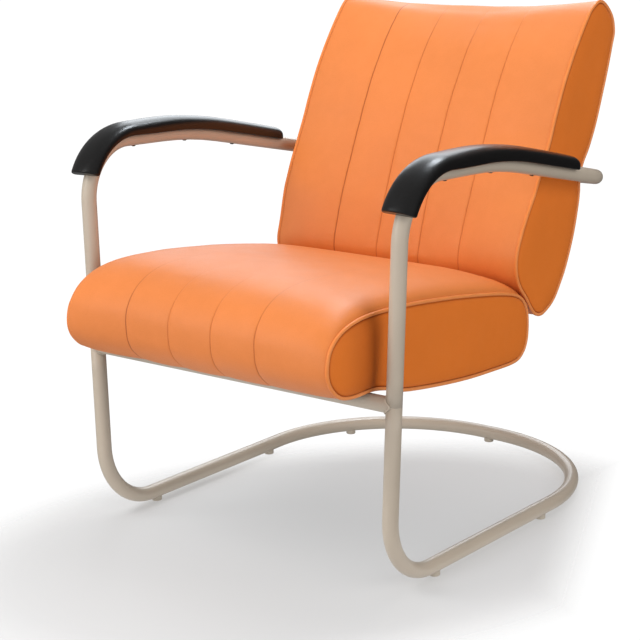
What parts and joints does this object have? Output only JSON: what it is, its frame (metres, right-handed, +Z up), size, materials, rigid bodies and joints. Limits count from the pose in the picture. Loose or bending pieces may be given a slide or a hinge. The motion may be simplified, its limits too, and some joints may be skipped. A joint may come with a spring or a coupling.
{
  "type": "cantilever lounge chair",
  "caption": "Lounge chair on a bent steel tube cantilever frame, with black arm pads and a channelled orange leather seat and back edged with piping.",
  "frame": {"origin": "on the floor, under the middle of the chair's outline", "axes": "+Z up; the chair faces -Y; +X to the sitter's left"},
  "size_m": [0.6742, 0.8938, 0.8629],
  "materials": {
    "tube_paint": "warm greige powder coat, satin",
    "bare_steel": "bare steel tube, hidden in the joints",
    "zinc_steel": "zinc plated",
    "black_rubber": "matte",
    "glide_plastic": "matte moulded",
    "arm_black": "ebonised and satin lacquered",
    "black_screws": "black, satin",
    "brass_inserts": "plain",
    "plywood": "bare birch plywood",
    "foam": "upholstery foam, open cell",
    "top_leather": "smooth orange leather with a soft sheen and fine grain",
    "side_leather": "the same orange leather, darker and burnished at the sides",
    "piping_leather": "orange leather cord edge, worn paler on its crest",
    "bottom_cloth": "black woven cloth",
    "black_plastic": "moulded black plastic"
  },
  "bodies": {
    "root": {"base_tube": "tube_paint", "arm_tube": "tube_paint", "tube_splices": "bare_steel", "cross_rail": "tube_paint", "seat_tabs": "tube_paint", "tab_pads": "black_rubber", "tab_bolts": "zinc_steel", "tab_nuts": "zinc_steel", "glides": "glide_plastic", "arm_pad_left": "arm_black", "arm_pad_right": "arm_black", "arm_screws": "black_screws", "arm_inserts": "brass_inserts", "seat_board": "plywood", "seat_foam": "foam", "seat_cover": "top_leather", "seat_side_left": "side_leather", "seat_side_right": "side_leather", "seat_piping_left": "piping_leather", "seat_piping_right": "piping_leather", "seat_bottom_cloth": "bottom_cloth", "back_board": "plywood", "back_foam": "foam", "back_cover": "top_leather", "back_side_left": "side_leather", "back_side_right": "side_leather", "back_piping_left": "piping_leather", "back_piping_right": "piping_leather", "back_rear_panel": "side_leather", "hoop_saddles": "black_plastic", "hoop_straps": "tube_paint", "hoop_bolts": "zinc_steel", "hoop_nuts": "zinc_steel", "link_straps": "tube_paint", "link_bolts": "zinc_steel", "link_nuts": "zinc_steel"}
  },
  "joints": []
}
